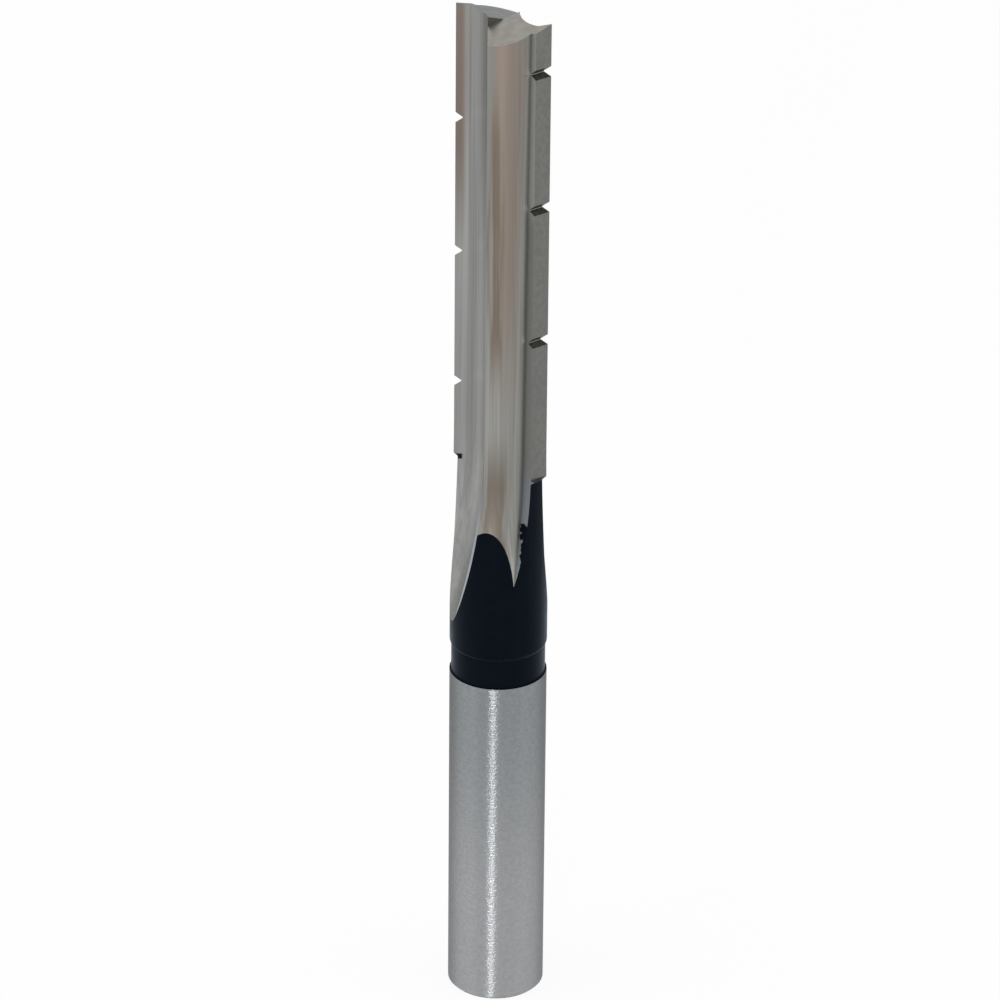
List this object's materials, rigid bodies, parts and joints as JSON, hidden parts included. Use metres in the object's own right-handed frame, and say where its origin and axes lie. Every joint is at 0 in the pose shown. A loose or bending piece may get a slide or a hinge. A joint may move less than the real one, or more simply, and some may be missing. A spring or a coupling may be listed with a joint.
{
  "type": "slot mortising bit",
  "caption": "Slot mortising bit with straight flutes, staggered chip-breaker notches on the cutting edges, a black neck and a round ground shank.",
  "frame": {"origin": "centre of the shank's end face", "axes": "+Z along the axis from the shank's end to the cutting end; +X towards the first tooth, whose cutting edge lies 30 degrees behind +X; +Y away from the side in the picture"},
  "size_m": [0.013, 0.013, 0.1418],
  "materials": {
    "steel": "ground, with a black oxide neck"
  },
  "bodies": {
    "root": {"mortising_bit": "steel"}
  },
  "joints": []
}
